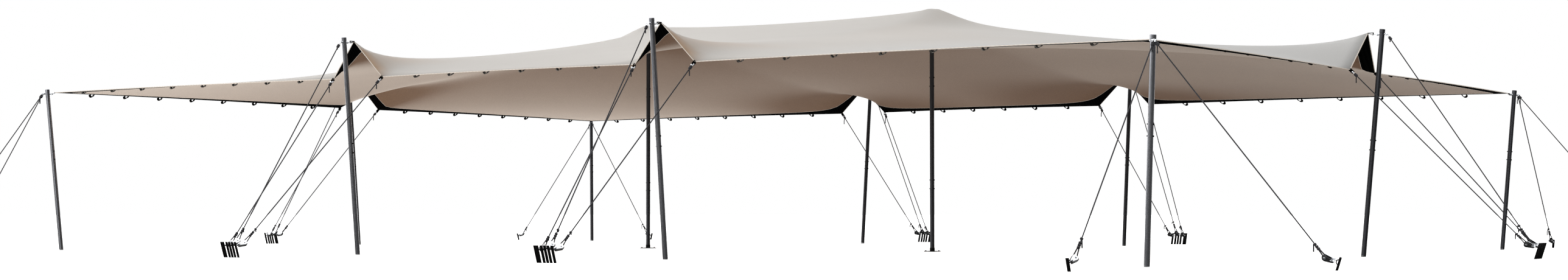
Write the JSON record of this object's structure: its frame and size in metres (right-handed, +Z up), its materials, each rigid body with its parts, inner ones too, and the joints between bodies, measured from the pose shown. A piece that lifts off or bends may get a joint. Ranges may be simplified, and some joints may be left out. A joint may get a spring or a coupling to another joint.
{
  "type": "stretch tent",
  "caption": "Open stretch-fabric tent: one sheet on leaning edge poles and two centre poles, pulled tight by guy ropes to ground stakes, giving a walk-under shelter.",
  "frame": {"origin": "on the ground under the middle of the tent", "axes": "+X along the long side, +Y across it towards the back, +Z up"},
  "size_m": [18.9386, 14.3986, 2.96],
  "materials": {
    "canopy_fabric": "matt coated stretch knit, beige grey",
    "pole_aluminium": "dark grey anodised tube",
    "guy_rope": "braided black polyester",
    "stake_steel": "black painted steel",
    "webbing": "woven black polyester webbing",
    "zinc_hardware": "bright galvanised steel"
  },
  "bodies": {
    "root": {"canopy": "canopy_fabric", "centre_pole_left": "pole_aluminium", "centre_pole_right": "pole_aluminium", "corner_pole_front_left": "pole_aluminium", "corner_guy_front_left_end": "guy_rope", "corner_stake_front_left_end": "stake_steel", "corner_guy_front_left_side": "guy_rope", "corner_stake_front_left_side": "stake_steel", "corner_pole_front_right": "pole_aluminium", "corner_guy_front_right_end": "guy_rope", "corner_stake_front_right_end": "stake_steel", "corner_guy_front_right_side": "guy_rope", "corner_stake_front_right_side": "stake_steel", "corner_pole_back_right": "pole_aluminium", "corner_guy_back_right_end": "guy_rope", "corner_stake_back_right_end": "stake_steel", "corner_guy_back_right_side": "guy_rope", "corner_stake_back_right_side": "stake_steel", "corner_pole_back_left": "pole_aluminium", "corner_guy_back_left_end": "guy_rope", "corner_stake_back_left_end": "stake_steel", "corner_guy_back_left_side": "guy_rope", "corner_stake_back_left_side": "stake_steel", "side_pole_front_left": "pole_aluminium", "pole_guy_front_left": "guy_rope", "hem_guy_front_left_1": "guy_rope", "hem_guy_front_left_2": "guy_rope", "stake_cluster_front_left": "stake_steel", "side_pole_front_right": "pole_aluminium", "pole_guy_front_right": "guy_rope", "hem_guy_front_right_1": "guy_rope", "hem_guy_front_right_2": "guy_rope", "stake_cluster_front_right": "stake_steel", "side_pole_right": "pole_aluminium", "pole_guy_right": "guy_rope", "hem_guy_right_1": "guy_rope", "hem_guy_right_2": "guy_rope", "stake_cluster_right": "stake_steel", "side_pole_back_right": "pole_aluminium", "pole_guy_back_right": "guy_rope", "hem_guy_back_right_1": "guy_rope", "hem_guy_back_right_2": "guy_rope", "stake_cluster_back_right": "stake_steel", "side_pole_back_left": "pole_aluminium", "pole_guy_back_left": "guy_rope", "hem_guy_back_left_1": "guy_rope", "hem_guy_back_left_2": "guy_rope", "stake_cluster_back_left": "stake_steel", "side_pole_left": "pole_aluminium", "pole_guy_left": "guy_rope", "hem_guy_left_1": "guy_rope", "hem_guy_left_2": "guy_rope", "stake_cluster_left": "stake_steel"}
  },
  "joints": []
}
